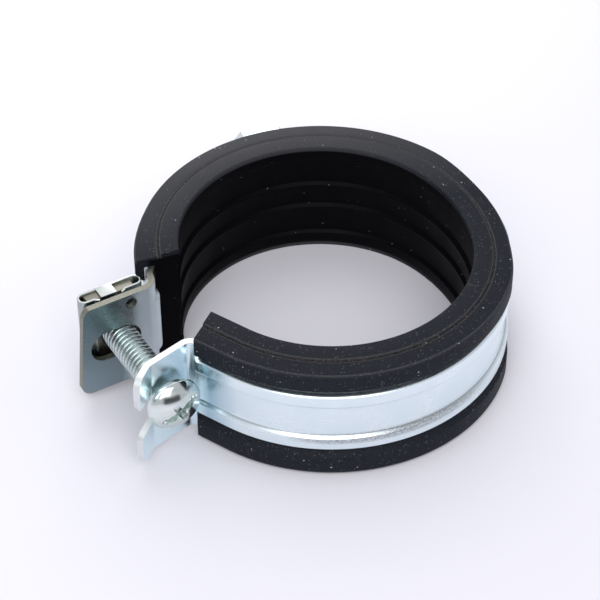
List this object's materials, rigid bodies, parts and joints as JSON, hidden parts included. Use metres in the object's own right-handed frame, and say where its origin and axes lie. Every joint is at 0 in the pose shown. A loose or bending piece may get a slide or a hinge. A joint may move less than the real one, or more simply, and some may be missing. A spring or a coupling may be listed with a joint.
{
  "type": "rubber lined pipe clamp",
  "caption": "Steel band pipe clamp with a ribbed rubber lining, two ears closed by a screw in a caged nut plate, and a threaded connection nut on its back.",
  "frame": {"origin": "middle of the pipe seat: centre of the back half's seat circle, at mid width", "axes": "+Z along the pipe, +Y out through the connection nut, -X towards the closure"},
  "size_m": [0.085, 0.08, 0.0246],
  "materials": {
    "zinc_strip": "bright zinc plate",
    "zinc_nut": "zinc plate",
    "screw_steel": "polished zinc plate",
    "plate_steel": "dull zinc plate",
    "cage_steel": "bright sheet",
    "rubber": "matt extruded rubber"
  },
  "bodies": {
    "clamp": {"band": "zinc_strip", "rubber_lining": "rubber", "connection_nut": "zinc_nut"},
    "screw": {"closing_screw": "screw_steel"},
    "caged_nut": {"nut_plate": "plate_steel", "nut_cage": "cage_steel"}
  },
  "joints": [
    {"name": "screw_turn", "type": "hinge", "parent": "clamp", "child": "screw", "pos_m": [-0.03864, -0.00417, 0], "axis": [0.2419, -0.9703, 0], "range_deg": [0, 2700]},
    {"name": "nut_travel", "type": "slide", "parent": "clamp", "child": "caged_nut", "axis": [-0.2419, 0.9703, 0], "range_m": [0, 0.0075]}
  ],
  "couplings": [
    {"joint": "screw_turn", "follows": "nut_travel", "rad_per_m": 6283.2}
  ]
}
